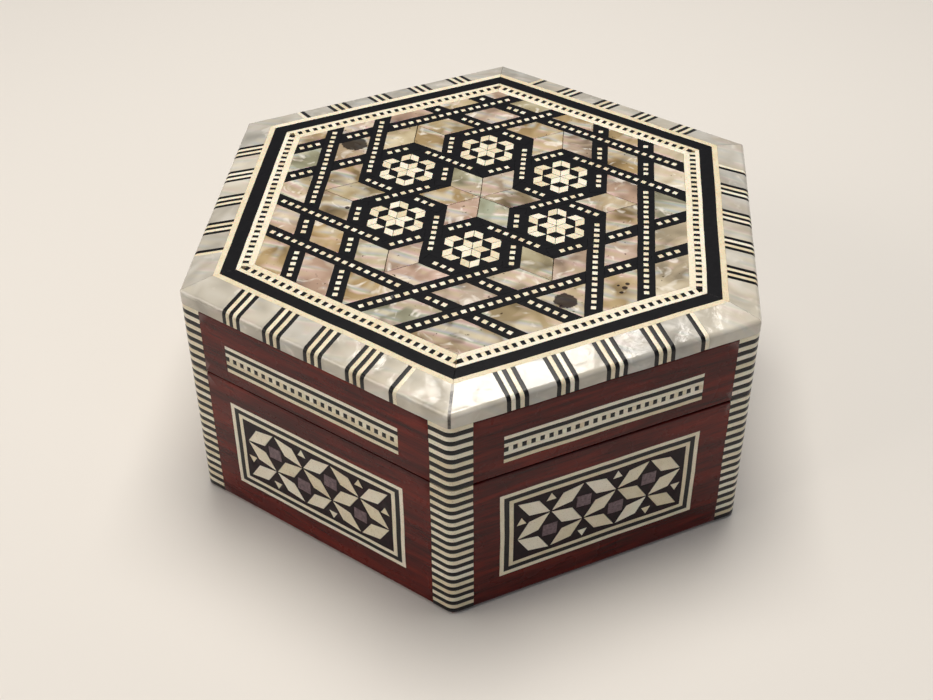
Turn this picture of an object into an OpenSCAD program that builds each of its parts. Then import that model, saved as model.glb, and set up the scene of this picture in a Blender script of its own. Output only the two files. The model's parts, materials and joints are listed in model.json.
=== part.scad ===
// Hexagonal jewellery box in mahogany with mother-of-pearl, bone and ebony marquetry.
// The origin is the centre of the underside, +Z is up and the hinges are on the +Y side.

/* [Case] */
// Distance across the flats of the hexagonal case
case_flats = 120; // [100:1:150]
// Height of the closed box
case_h = 57; // [50:0.5:75]
// Height of the lid, from the seam to the top
lid_h = 21.2; // [19:0.1:26]
// Gap between the body and the closed lid
seam_gap = 0.3; // [0.2:0.1:0.6]
// Thickness of the mitred walls
wall_t = 8; // [6:0.5:11]
// Radius of the case's six upright corners
corner_r = 2.5; // [1.5:0.1:4]
// Thickness of the base board
base_t = 5; // [3:0.5:8]
// Thickness of the felt under the base
felt_t = 0.6; // [0.4:0.1:1.5]
// How far the felt stays inside the walls' outer faces
felt_inset = 0.6; // [0.2:0.1:3]
// Thickness of the velvet lining
velvet_t = 1; // [0.5:0.1:2]
// How far the velvet on the walls stops short of the rims
velvet_drop = 1.5; // [0.5:0.1:4]
// Glue line between neighbouring pieces
glue = 0.06; // [0.04:0.01:0.15]

/* [Marquetry on the sides] */
// Thickness of the veneer let into the walls
veneer_t = 1.1; // [0.8:0.1:2]
// Length of each arm of the chevron slices at the corners
chevron_arm = 5; // [3:0.1:7]
// Number of bone slices at each corner of the body
body_slices = 16; // [8:1:20]
// Number of bone slices at each corner of the lid
lid_slices = 7; // [4:1:10]
// Width of the framed panel on each side of the body
panel_w = 46.5; // [40:0.5:47]
// Height of the framed panel
panel_h = 23.2; // [18:0.1:26]
// Height of the panel's lower edge above the table
panel_z = 7; // [4:0.1:8]
// How far the panels and strips sit off the middle of their sides
panel_shift = -0.5; // [-0.6:0.1:0.6]
// Width of each bone line around the panel
panel_bone_w = 1; // [0.6:0.1:1.5]
// Width of the ebony line between them
panel_ebony_w = 1.1; // [0.6:0.1:1.5]
// Columns of crossings in the panel's lattice
panel_cols = 6; // [4:2:6]
// Rows of crossings in the panel's lattice
panel_rows = 4; // [2:1:4]
// Room between the outermost crossings and the panel's frame
lattice_room = 0.775; // [0.5:0.025:1.5]
// Short diagonal of the bone lozenges in the lattice
lozenge_w = 4.1; // [2.5:0.1:4.3]
// Room between a rosewood bit and the lozenges' corners beside it
bit_side_room = 0.94; // [0.6:0.02:1.4]
// Room between a rosewood bit and the rows above and below it
bit_row_room = 0.88; // [0.6:0.02:1.4]
// Width of a small bone triangle as a share of the distance between the lattice's columns
triangle_share = 0.3; // [0.15:0.01:0.32]
// Height of those triangles
triangle_h = 2; // [0.8:0.1:2.2]
// Room between the triangles and the panel's frame
triangle_room = 0.6; // [0.4:0.05:1]

/* [Strip on the lid's sides] */
// Length of the inlaid strip
strip_l = 45.2; // [38:0.1:46]
// Height of the strip's lower edge above the lid's lower edge
strip_lift = 3; // [1.5:0.1:4]
// Width of the strip's bone lines
strip_bone_w = 0.95; // [0.6:0.05:1.2]
// Width of the strip's ebony lines
strip_ebony_w = 1; // [0.6:0.05:1.2]
// Width of the row of ebony and bone squares
strip_checker_w = 1.2; // [0.8:0.05:1.5]

/* [Lid top] */
// Thickness of the marquetry on the lid
top_t = 1.5; // [1:0.1:2.5]
// Width of the mother-of-pearl edging on the top
edging_w = 6.6; // [5:0.1:8]
// How far the edging slopes down to its outer crease
edging_drop = 1.6; // [1:0.1:2.2]
// Height of the edging's upright face, below the crease
edging_h = 3.2; // [2.6:0.1:4.5]
// Radius of the crease
crease_r = 1.2; // [0.5:0.1:1.6]
// Width of each stripe across the edging
stripe_w = 0.95; // [0.6:0.05:1.2]
// Distance between the groups of stripes
stripe_pitch = 10.75; // [8:0.05:10.9]
// Place of the first group along each side
stripe_first = -20.2; // [-21:0.1:-18]
// Width of the outermost bone line
outer_line_w = 1.3; // [0.8:0.05:2]
// Width of the ebony band
band_w = 3; // [2:0.1:4]
// Width of the bone line inside the band
middle_line_w = 0.95; // [0.8:0.05:2]
// Width of the row of squares
checker_w = 1.3; // [0.8:0.05:2]
// Distance between the ebony squares
checker_pitch = 1.96; // [1.5:0.01:2.5]
// Width of the innermost bone line
inner_line_w = 1.4; // [0.8:0.05:2]

/* [Star field] */
// Distance of the innermost strips from the pattern's centre
star_u = 8.8; // [7.5:0.1:9.6]
// Width of the dotted ebony strips
dotted_w = 3.75; // [2.5:0.05:4]
// Side of the bone squares in the strips
dot_w = 1.15; // [0.8:0.05:1.4]
// Distance between the bone squares
dot_pitch = 2; // [1.8:0.05:2.6]
// Room between a rosette's lozenges and the strips around it
rosette_room = 0.82; // [0.6:0.02:3]
// Place of the pattern's centre across the lid
star_x = 1.5; // [-3:0.1:3]
// Place of the pattern's centre towards the hinges
star_y = 3.5; // [-4:0.1:4]

/* [Hinges] */
// Room between a hinge and the chevron slices beside it
hinge_margin = 2.6; // [1:0.1:6]
// Length of a hinge along its pin
hinge_l = 18; // [12:0.5:20]
// How far the leaves reach into the rims
leaf_d = 6; // [4:0.1:7]
// Thickness of the leaves
leaf_t = 0.9; // [0.6:0.05:1.2]
// Radius of the knuckles
knuckle_r = 1.6; // [1.4:0.05:2.2]
// Radius of the pins
pin_r = 0.75; // [0.5:0.05:0.9]
// Radial clearance between a pin and its knuckles
pin_clear = 0.05; // [0.02:0.01:0.1]
// Gap between neighbouring knuckles, and between them and the walls
knuckle_gap = 0.3; // [0.2:0.05:0.5]
// Radius of the heads at the pins' ends
pin_head_r = 1.2; // [1:0.05:1.4]
// Thickness of those heads
pin_head_t = 0.5; // [0.3:0.1:1]
// Radius of the screws' shanks
screw_r = 0.6; // [0.4:0.05:0.8]
// Radius of the screws' heads
screw_head_r = 1.2; // [1:0.05:1.5]
// Length of the screws
screw_l = 5; // [3:0.5:7]

/* [Hidden] */
// Rounded pieces are cut into this many sides
$fn = 48;
// Tangent that turns an apothem into half a side of a hexagon
half_side = tan(30);
// Distance from the axis to the outer faces
case_a = case_flats / 2;
// Distance from the axis to the walls' inner faces
room_a = case_a - wall_t;
// Height of the body's rim and of the lid's lower edge
rim_z = case_h - lid_h;
lid_z = rim_z + seam_gap;
// Top of the lid's walls, where the edging and the lid board sit
wall_top_z = case_h - edging_drop - edging_h;
// Top of the lid board, under the marquetry
board_top_z = case_h - top_t;
// Inner edge of the edging, then each ring inside it
edging_in = case_a - edging_w;
band_out = edging_in - outer_line_w;
band_in = band_out - band_w;
checker_out = band_in - middle_line_w;
checker_in = checker_out - checker_w;
field_a = checker_in - inner_line_w;
// Slope and crease of the edging's outer surface
edging_tilt = atan(edging_drop / edging_w);
crease_drop = crease_r * tan((90 - edging_tilt) / 2);
crease_steps = 6;
// Flats that make up each rounded corner
corner_steps = 6;
// Heights of the layers of the strip on the lid's sides, from its lower edge
strip_layers = [strip_bone_w, strip_ebony_w, strip_bone_w, strip_checker_w,
    strip_bone_w, strip_ebony_w, strip_bone_w];
strip_z = lid_z + strip_lift;
// The panel's frame and the ground inside it
frame_w = 2 * panel_bone_w + panel_ebony_w;
ground_w = panel_w - 2 * frame_w;
ground_h = panel_h - 2 * frame_w;
panel_mid_z = panel_z + panel_h / 2;
// Distances between the columns and between the rows of the lattice
panel_col_pitch = (ground_w - 2 * lattice_room) / (panel_cols - 1);
panel_row_pitch = (ground_h - 2 * lattice_room) / (panel_rows - 1);
// Direction and length of the lozenges in the lattice
lozenge_tilt = atan(panel_row_pitch / panel_col_pitch);
lozenge_l = norm([panel_row_pitch, panel_col_pitch]);
// Sizes of the bits and of the triangles between the lozenges
bit_w = panel_col_pitch - lozenge_w * sin(lozenge_tilt) - 2 * bit_side_room;
bit_h = panel_row_pitch - 2 * bit_row_room;
triangle_w = triangle_share * panel_col_pitch;
// Side of a rosette's lozenges, three of which span its cell
rosette_a = (star_u - dotted_w / 2 - rosette_room) / (3 * cos(30));
// Half a side of a rosette's cell, and the side of the mother-of-pearl lozenges
cell_half = star_u * half_side;
pearl_side = (star_u - dotted_w / 2) / cos(30);
// Room that a bone square needs inside the field and beside a crossing strip
dot_room = dot_w * 3 / 4;
// How far the seams between the tiles run on under the strips
seam_over = dotted_w / 4;
// Distances of the strips from the pattern's centre
strip_at = [star_u, 3 * star_u, 4 * star_u + dotted_w / 2];
// Where each of them begins and ends along its own length
strip_from = [cell_half, cell_half, -2 * case_flats];
strip_to = [5 * cell_half, 2 * case_flats, 2 * case_flats];
// How far a strip runs on past a corner so that two of them meet
corner_run = dotted_w / 2 * half_side;
// Hinge pin's place, clear of the back wall
pin_y = case_a + knuckle_gap + knuckle_r;
pin_z = rim_z + seam_gap / 2;
knuckle_l = (hinge_l - 2 * knuckle_gap) / 3;
// Distance of each hinge from the middle of the back
hinge_x = case_a * half_side - chevron_arm - hinge_margin - hinge_l / 2;
// Screws stand in the middle of the leaves
screw_y = case_a - leaf_d / 2;
screw_x = hinge_l / 4;

// ---- Shapes that repeat ----

// Hexagon with flats at +Y and -Y, given the distance from its centre to its flats
module hexagon(a)
{
    circle(r = a / cos(30), $fn = 6);
}

// Repeats its children, drawn on the front side, on all six sides
module each_side()
{
    for (k = [0:5])
        rotate([0, 0, 60 * k])
            children();
}

// Slab of the front side between two distances from the axis, cut to the mitres
module mitred_slab(outer_a, inner_a, gap = 0)
{
    outer_h = outer_a * half_side - gap;
    inner_h = inner_a * half_side - gap;
    polygon([[-outer_h, -outer_a], [outer_h, -outer_a], [inner_h, -inner_a], [-inner_h, -inner_a]]);
}

// Keeps the part of its children between the front side's two mitres, with its corners rounded
module between_mitres()
{
    right = corner_arc(case_a, corner_r);
    tip = ((case_a - corner_r) / cos(30) + corner_r) * [cos(60), -sin(60)];
    right_end = [for (i = [0:corner_steps / 2 - 1]) right[i]];
    left_end = [for (i = [corner_steps / 2 - 1:-1:0]) [-right[i][0], right[i][1]]];
    intersection() {
        children();
        translate([0, -glue, 0])
            linear_extrude(2 * case_h)
                polygon(concat([[0, 0], [-tip[0], tip[1]]], left_end, right_end, [tip]));
    }
}

// Flat shape stood upright in the front wall's face: x along the wall, y up
module in_front_face()
{
    translate([0, veneer_t - case_a, 0])
        rotate([90, 0, 0])
            linear_extrude(veneer_t)
                children();
}

module square_ring(w, h, line_w)
{
    difference() {
        square([w, h], center = true);
        square([w - 2 * line_w, h - 2 * line_w], center = true);
    }
}

// Lozenge with its long diagonal along x, drawn in by half a glue line
module lozenge(long_d, short_d)
{
    inset = 1 - glue / (long_d * short_d / norm([long_d, short_d]));
    polygon([[-long_d, 0] * inset / 2, [0, -short_d] * inset / 2,
        [long_d, 0] * inset / 2, [0, short_d] * inset / 2]);
}

// Lozenge of two equal-sided triangles, with its long diagonal along x
module star_lozenge(side)
{
    lozenge(2 * side * cos(30), side);
}

// Heights of the layers below layer i
function layers_below(i) = i == 0 ? 0 : strip_layers[i - 1] + layers_below(i - 1);

// ---- Walls and corners ----

// Rounded corner to the right of the front side, from that side to the next
function corner_arc(a, r) = [for (i = [0:corner_steps])
    (a - r) / cos(30) * [cos(60), -sin(60)]
    + r * [cos(60 * i / corner_steps - 90), sin(60 * i / corner_steps - 90)]];

// Point p of the front side, reflected in the mitre to its right
function across_mitre(p) = [p[0] * cos(120) - p[1] * sin(120), -p[0] * sin(120) - p[1] * cos(120)];

// Bent slice round the corner to the right of the front side
module chevron()
{
    back_a = case_a - veneer_t;
    arm_x = case_a * half_side - chevron_arm;
    polygon(concat(corner_arc(case_a, corner_r),
        [across_mitre([arm_x, -case_a]), across_mitre([arm_x, -back_a]),
        [back_a * half_side, -back_a], [arm_x, -back_a], [arm_x, -case_a]]));
}

// Slices of one material at all six corners: first is 0 for ebony and 1 for bone
module corner_slices(low_z, high_z, count, first)
{
    slice_h = (high_z - low_z) / (2 * count);
    each_side()
        for (i = [0:count - 1])
            translate([0, 0, low_z + slice_h * (2 * i + first)])
                linear_extrude(slice_h)
                    chevron();
}

// Front wall between two heights, with its corners let in for the chevrons
module wall_blank(low_z, high_z)
{
    half = case_a * half_side;
    back_a = case_a - veneer_t;
    right_end = [[half - chevron_arm, -case_a], [half - chevron_arm, -back_a],
        [back_a * half_side, -back_a], [room_a * half_side, -room_a]];
    left_end = [for (i = [3:-1:0]) [-right_end[i][0], right_end[i][1]]];
    translate([0, 0, low_z])
        linear_extrude(high_z - low_z)
            polygon(concat(right_end, left_end));
}

module body_wall(k)
{
    color("#4a1514")
        rotate([0, 0, 60 * k])
            difference() {
                wall_blank(felt_t, rim_z);
                translate([panel_shift, 0, panel_mid_z])
                    in_front_face()
                        square([panel_w, panel_h], center = true);
                if (k == 3)
                    rotate([0, 0, 180])
                        lower_hinge_cuts();
            }
}

module lid_wall(k)
{
    color("#4a1514")
        rotate([0, 0, 60 * k])
            difference() {
                wall_blank(lid_z, wall_top_z);
                translate([panel_shift, 0, strip_z])
                    in_front_face()
                        translate([-strip_l / 2, 0])
                            square([strip_l, layers_below(len(strip_layers))]);
                if (k == 3)
                    rotate([0, 0, 180])
                        upper_hinge_cuts();
            }
}

module base_felt()
{
    color("#5c1220")
        linear_extrude(felt_t)
            hexagon(case_a - felt_inset);
}

module base_board()
{
    color("#9c7a4e")
        translate([0, 0, felt_t])
            linear_extrude(base_t)
                hexagon(room_a);
}

module body_corner_bone()
{
    color("#dcc9ae")
        corner_slices(felt_t, rim_z, body_slices, 1);
}

module body_corner_ebony()
{
    color("#120e12")
        corner_slices(felt_t, rim_z, body_slices, 0);
}

module lid_corner_bone()
{
    color("#dcc9ae")
        corner_slices(lid_z, wall_top_z, lid_slices, 1);
}

module lid_corner_ebony()
{
    color("#120e12")
        corner_slices(lid_z, wall_top_z, lid_slices, 0);
}

// ---- Panels on the body ----

// Puts a flat shape, drawn about the panel's middle, in all six panels
module in_panels()
{
    each_side()
        translate([panel_shift, 0, panel_mid_z])
            in_front_face()
                children();
}

// The same, for a lattice that starts half a step later on every other side
module in_panels_by_turns()
{
    for (k = [0:5])
        rotate([0, 0, 60 * k])
            translate([panel_shift, 0, panel_mid_z])
                in_front_face() {
                    if (k % 2 == 0)
                        children();
                    else
                        mirror([1, 0])
                            children();
                }
}

// Place of column i and row j of the lattice
function crossing(i, j) = [(i - (panel_cols - 1) / 2) * panel_col_pitch,
    (j - (panel_rows - 1) / 2) * panel_row_pitch];

module lattice_lozenges()
{
    for (i = [0:panel_cols - 2], j = [0:panel_rows - 2])
        translate((crossing(i, j) + crossing(i + 1, j + 1)) / 2)
            rotate((i + j) % 2 == 0 ? -lozenge_tilt : lozenge_tilt)
                lozenge(lozenge_l - 2 * glue, lozenge_w);
}

module lattice_bits()
{
    for (i = [1:panel_cols - 2], j = [1:panel_rows - 2])
        if ((i + j) % 2 == 0)
            translate(crossing(i, j))
                square([bit_w, bit_h], center = true);
}

// Small triangle with its apex up or down
module lattice_triangle(up)
{
    half = up * triangle_h / 2;
    polygon([[-triangle_w / 2, -half], [triangle_w / 2, -half], [0, half]]);
}

// Small triangles in the half cells along the ground's upper and lower edges, and one at each end
module lattice_triangles()
{
    edge_x = ground_w / 2 - triangle_room - triangle_w / 2;
    edge_y = ground_h / 2 - triangle_room - triangle_h / 2;
    for (i = [1:panel_cols - 2], up = [-1, 1])
        if ((i + (up < 0 ? 0 : panel_rows - 1)) % 2 == 0)
            translate([crossing(i, 0)[0], up * edge_y])
                lattice_triangle(up);
    for (up = [-1, 1])
        translate([-up * edge_x, up * panel_row_pitch / 2])
            lattice_triangle(up);
}

module panel_bone_lines()
{
    color("#dcc9ae")
        in_panels() {
            square_ring(panel_w, panel_h, panel_bone_w);
            square_ring(ground_w + 2 * panel_bone_w, ground_h + 2 * panel_bone_w, panel_bone_w);
        }
}

module panel_ebony_lines()
{
    color("#120e12")
        in_panels()
            square_ring(panel_w - 2 * panel_bone_w, panel_h - 2 * panel_bone_w, panel_ebony_w);
}

module panel_ground()
{
    color("#1e0a14")
        in_panels_by_turns()
            difference() {
                square([ground_w, ground_h], center = true);
                lattice_lozenges();
                lattice_bits();
                lattice_triangles();
            }
}

module panel_bone_lozenges()
{
    color("#dcc9ae")
        in_panels_by_turns()
            lattice_lozenges();
}

module panel_rosewood_bits()
{
    color("#5a4348")
        in_panels_by_turns()
            lattice_bits();
}

module panel_bone_triangles()
{
    color("#dcc9ae")
        in_panels_by_turns()
            lattice_triangles();
}

// ---- Strips on the lid's sides ----

// Layer i of the strip, as one line along each side
module strip_line(i)
{
    each_side()
        translate([panel_shift, 0, strip_z + layers_below(i)])
            in_front_face()
                translate([-strip_l / 2, 0])
                    square([strip_l, strip_layers[i]]);
}

// Every other square of the checkered layer: first is 0 for ebony and 1 for bone
module strip_squares(first)
{
    pairs = round(strip_l / checker_pitch);
    square_w = strip_l / (2 * pairs);
    each_side()
        translate([panel_shift, 0, strip_z + layers_below(3)])
            in_front_face()
                for (i = [0:pairs - 1])
                    translate([-strip_l / 2 + square_w * (2 * i + first), 0])
                        square([square_w, strip_checker_w]);
}

module lid_strip_bone_lines()
{
    color("#dcc9ae")
        for (i = [0, 2, 4, 6])
            strip_line(i);
}

module lid_strip_ebony_lines()
{
    color("#120e12")
        for (i = [1, 5])
            strip_line(i);
}

module lid_strip_ebony_squares()
{
    color("#120e12")
        strip_squares(0);
}

module lid_strip_bone_squares()
{
    color("#dcc9ae")
        strip_squares(1);
}

// ---- Lid board and edging ----

// Prism along x whose outline is given as distances from the axis and heights
module side_prism(outline, from_x, to_x)
{
    translate([from_x, 0, 0])
        rotate([90, 0, 90])
            linear_extrude(to_x - from_x)
                polygon([for (p = outline) [-p[0], p[1]]]);
}

// Board with a sloping rim that carries the edging
module lid_board()
{
    rim_a = case_a - top_t;
    rim_h = board_top_z - (rim_a - edging_in) * tan(edging_tilt);
    outline = [[-rim_a, wall_top_z], [rim_a, wall_top_z], [rim_a, rim_h], [edging_in, board_top_z],
        [-edging_in, board_top_z], [-rim_a, rim_h]];
    color("#9c7a4e")
        intersection_for (k = [0:2])
            rotate([0, 0, 60 * k])
                side_prism(outline, -case_flats, case_flats);
}

// Outline across the edging, with its rounded crease
function crease_point(i) = [case_a - crease_r, case_h - edging_drop - crease_drop]
    + crease_r * [cos(i / crease_steps * (90 - edging_tilt)), sin(i / crease_steps * (90 - edging_tilt))];
edging_outline = concat([[edging_in, case_h]],
    [for (i = [crease_steps:-1:0]) crease_point(i)],
    [[case_a, wall_top_z], [case_a - top_t, wall_top_z],
    [case_a - top_t, board_top_z - (edging_w - top_t) * tan(edging_tilt)], [edging_in, board_top_z]]);

// Each side has four whole groups of stripes and a short fifth one: their stripes
stripe_counts = [5, 5, 5, 5, 2];

// Where group g starts, and where it ends
function group_start(g) = stripe_first + g * stripe_pitch - 2.5 * stripe_w;
function group_end(g) = group_start(g) + stripe_counts[g] * stripe_w;

// Stripes of one material: first is 0 for ebony and 1 for bone
module edging_stripes(first)
{
    each_side()
        for (g = [0:len(stripe_counts) - 1], s = [first:2:stripe_counts[g] - 1])
            side_prism(edging_outline, group_start(g) + s * stripe_w, group_start(g) + (s + 1) * stripe_w);
}

module edging_pearl()
{
    last = len(stripe_counts) - 1;
    color("#c9c4bb")
        each_side() {
            for (g = [0:last - 1])
                side_prism(edging_outline, group_end(g), group_start(g + 1));
            between_mitres()
                side_prism(edging_outline, -case_a, group_start(0));
            between_mitres()
                side_prism(edging_outline, group_end(last), case_a);
        }
}

module edging_bone_stripes()
{
    color("#efe3b8")
        edging_stripes(1);
}

module edging_ebony_stripes()
{
    color("#120e12")
        edging_stripes(0);
}

// ---- Rings round the top ----

// Lays a flat shape in the marquetry on the lid board
module on_lid()
{
    translate([0, 0, board_top_z])
        linear_extrude(top_t)
            children();
}

// Ring of six mitred strips with a glue line at each corner
module mitred_ring(outer_a, inner_a)
{
    each_side()
        mitred_slab(outer_a, inner_a, glue / 2);
}

// Every other square along each side of the ring: first is 0 for ebony and 1 for bone
module ring_squares(first)
{
    half = checker_in * half_side - glue;
    pairs = round(2 * half / checker_pitch);
    square_w = 2 * half / (2 * pairs);
    each_side()
        for (i = [0:pairs - 1])
            translate([-half + square_w * (2 * i + first), -checker_out])
                square([square_w, checker_w]);
}

module top_outer_bone_line()
{
    color("#efe3b8")
        on_lid()
            mitred_ring(edging_in, band_out);
}

module top_ebony_band()
{
    color("#120e12")
        on_lid()
            mitred_ring(band_out, band_in);
}

module top_middle_bone_line()
{
    color("#efe3b8")
        on_lid()
            mitred_ring(band_in, checker_out);
}

module top_ebony_squares()
{
    color("#120e12")
        on_lid()
            ring_squares(0);
}

module top_bone_squares()
{
    color("#efe3b8")
        on_lid()
            ring_squares(1);
}

module top_inner_bone_line()
{
    color("#efe3b8")
        on_lid()
            mitred_ring(checker_in, field_a);
}

// ---- Star field ----

// Turns and moves a flat shape from the pattern's own place to the lid
module in_pattern()
{
    translate([star_x, star_y])
        rotate(-30)
            children();
}

// All strips of family f: both sides of the centre and both ways along, grown all round
module family_strips(f, grow = 0)
{
    w = dotted_w + 2 * grow;
    rotate(60 * f)
        for (n = [0:2], side = [-1, 1], way = [-1, 1])
            if (n < 2 || way > 0) {
                start = strip_from[n] - corner_run - grow;
                length = strip_to[n] - strip_from[n] + 2 * (corner_run + grow);
                translate([side * strip_at[n] - w / 2, way > 0 ? start : -start - length])
                    square([w, length]);
            }
}

// Each family passes over the one before it, which is cut with a glue line all round
module woven_strips()
{
    for (f = [0:2])
        difference() {
            family_strips(f);
            family_strips((f + 1) % 3, glue);
        }
}

// Distance of point p from the centre across family f, and its place along that family
function across(p, f) = p * [cos(60 * f), sin(60 * f)];
function along(p, f) = p * [-sin(60 * f), cos(60 * f)];

// Whether a strip of family f covers point p, with some room around it
function covered(p, f, room) = max([for (n = [0:2])
    abs(abs(across(p, f)) - strip_at[n]) < dotted_w / 2 + room
    && (n == 2 || abs(along(p, f)) > strip_from[n] - corner_run - room)
    && (n == 2 || abs(along(p, f)) < strip_to[n] + corner_run + room) ? 1 : 0]) > 0;

// Whether a point of the pattern lies inside the field, with some room around it
function in_field(p, room) = max([for (f = [0:5])
    across(p, f) + [star_x, star_y] * [cos(60 * f - 30), sin(60 * f - 30)]]) < field_a - room;

// Bone squares along the strips, left out where another family passes over
module strip_dots()
{
    steps = ceil(case_a / dot_pitch);
    for (f = [0:2], n = [0:2], side = [-1, 1], i = [-steps:steps - 1]) {
        t = (i + 0.5) * dot_pitch;
        p = side * strip_at[n] * [cos(60 * f), sin(60 * f)] + t * [-sin(60 * f), cos(60 * f)];
        if (in_field(p, dot_room) && !covered(p, (f + 1) % 3, dot_room)
            && (n == 2 || abs(t) > strip_from[n] && abs(t) < strip_to[n]))
            translate(p)
                rotate(60 * f)
                    square(dot_w, center = true);
    }
}

// Repeats its children at the centres of the six rosettes
module each_rosette()
{
    for (k = [0:5])
        rotate(30 + 60 * k)
            translate([4 * cell_half, 0])
                children();
}

// Star of six lozenges, with twelve more around it in pairs
module rosette_bone()
{
    for (k = [0:5])
        rotate(60 * k) {
            rotate(30)
                translate([rosette_a * cos(30), 0])
                    star_lozenge(rosette_a);
            for (side = [-1, 1])
                translate(rosette_a * [9 / 4, side * cos(30) / 2])
                    rotate(-30 * side)
                        star_lozenge(rosette_a);
        }
}

// Lozenges in the star's hollows
module rosette_ebony()
{
    for (k = [0:5])
        rotate(60 * k)
            translate([1.5 * rosette_a, 0])
                rotate(90)
                    star_lozenge(rosette_a);
}

// Seams between the lozenges of the middle star and of the six fans around it
module tile_seams()
{
    for (k = [0:2])
        rotate(30 + 60 * k)
            square([2 * (pearl_side + seam_over), 2 * glue], center = true);
    for (k = [0:5], side = [-1, 1])
        rotate(60 * k)
            translate([strip_at[2] - dotted_w / 2 + seam_over * cos(30), -side * seam_over / 2])
                rotate(180 - 30 * side)
                    translate([0, -glue])
                        square([pearl_side + 2 * seam_over, 2 * glue]);
}

module field_dotted_strips()
{
    color("#120e12")
        on_lid()
            difference() {
                intersection() {
                    hexagon(field_a);
                    in_pattern()
                        woven_strips();
                }
                in_pattern()
                    strip_dots();
            }
}

module field_bone_dots()
{
    color("#efe3b8")
        on_lid()
            in_pattern()
                strip_dots();
}

module field_pearl_tiles()
{
    color("#b5a98a")
        on_lid()
            difference() {
                hexagon(field_a);
                in_pattern() {
                    for (f = [0:2])
                        family_strips(f);
                    each_rosette()
                        hexagon(star_u);
                    tile_seams();
                }
            }
}

module rosette_ground()
{
    color("#120e12")
        on_lid()
            in_pattern()
                each_rosette()
                    difference() {
                        hexagon(star_u - dotted_w / 2);
                        rosette_bone();
                        rosette_ebony();
                    }
}

module rosette_bone_lozenges()
{
    color("#efe3b8")
        on_lid()
            in_pattern()
                each_rosette()
                    rosette_bone();
}

module rosette_ebony_lozenges()
{
    color("#1a1418")
        on_lid()
            in_pattern()
                each_rosette()
                    rosette_ebony();
}

// ---- Lining ----

// Six pads on the walls' inner faces between two heights
module wall_pads(low_z, high_z)
{
    color("#8c1020")
        each_side()
            translate([0, 0, low_z])
                linear_extrude(high_z - low_z)
                    mitred_slab(room_a, room_a - velvet_t, glue);
}

module body_velvet_floor()
{
    color("#8c1020")
        translate([0, 0, felt_t + base_t])
            linear_extrude(velvet_t)
                hexagon(room_a);
}

module body_velvet_walls()
{
    wall_pads(felt_t + base_t + velvet_t, rim_z - velvet_drop);
}

module lid_velvet_top()
{
    color("#8c1020")
        translate([0, 0, wall_top_z - velvet_t])
            linear_extrude(velvet_t)
                hexagon(room_a);
}

module lid_velvet_walls()
{
    wall_pads(lid_z + velvet_drop, wall_top_z - velvet_t);
}

// ---- Hinges ----

// Repeats its children at both hinges, on the pin's axis
module each_hinge()
{
    for (side = [-1, 1])
        translate([side * hinge_x, 0, 0])
            children();
}

// Recess for the leaves and pilot holes for the screws, in the body's rim
module lower_hinge_cuts()
{
    each_hinge() {
        translate([-hinge_l / 2, case_a - leaf_d, rim_z - leaf_t])
            cube([hinge_l, leaf_d, leaf_t]);
        for (side = [-1, 1])
            translate([side * screw_x, screw_y, rim_z - screw_l])
                cylinder(r = screw_r, h = screw_l);
    }
}

// Turns a hinge piece of the body over into the lid
module turned_over()
{
    translate([0, 0, rim_z + lid_z])
        mirror([0, 0, 1])
            children();
}

// The same in the lid's lower edge
module upper_hinge_cuts()
{
    turned_over()
        lower_hinge_cuts();
}

// Countersunk screw with its head's top at height 0
module hinge_screw()
{
    head_h = leaf_t;
    rotate_extrude()
        polygon([[0, 0], [screw_head_r, 0], [screw_r, -head_h], [screw_r, -screw_l], [0, -screw_l]]);
}

// Leaf let into the body's rim, with a knuckle for each place in the list
module hinge_leaf(knuckles)
{
    difference() {
        union() {
            translate([-hinge_l / 2, case_a - leaf_d, rim_z - leaf_t])
                cube([hinge_l, leaf_d, leaf_t]);
            for (i = knuckles)
                translate([-hinge_l / 2 + i * (knuckle_l + knuckle_gap), 0, 0]) {
                    translate([0, case_a - glue, rim_z - leaf_t])
                        cube([knuckle_l, pin_y - case_a, leaf_t]);
                    translate([0, pin_y, pin_z])
                        rotate([0, 90, 0])
                            cylinder(r = knuckle_r, h = knuckle_l);
                }
        }
        translate([-hinge_l / 2, pin_y, pin_z])
            rotate([0, 90, 0])
                cylinder(r = pin_r + pin_clear, h = hinge_l);
        for (side = [-1, 1])
            translate([side * screw_x, screw_y, rim_z])
                hinge_screw();
    }
}

module leaf_screws()
{
    color("#a8873f")
        each_hinge()
            for (side = [-1, 1])
                translate([side * screw_x, screw_y, rim_z])
                    hinge_screw();
}

module hinge_lower_leaves()
{
    color("#b08d46")
        each_hinge()
            hinge_leaf([0, 2]);
}

module hinge_upper_leaves()
{
    color("#b08d46")
        turned_over()
            each_hinge()
                hinge_leaf([1]);
}

module hinge_lower_screws()
{
    leaf_screws();
}

module hinge_upper_screws()
{
    turned_over()
        leaf_screws();
}

// Pins with a small head outside each end knuckle
module hinge_pins()
{
    color("#a8873f")
        each_hinge()
            translate([-hinge_l / 2, pin_y, pin_z])
                rotate([0, 90, 0]) {
                    cylinder(r = pin_r, h = hinge_l);
                    for (end = [-pin_head_t, hinge_l])
                        translate([0, 0, end])
                            cylinder(r = pin_head_r, h = pin_head_t);
                }
}

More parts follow.
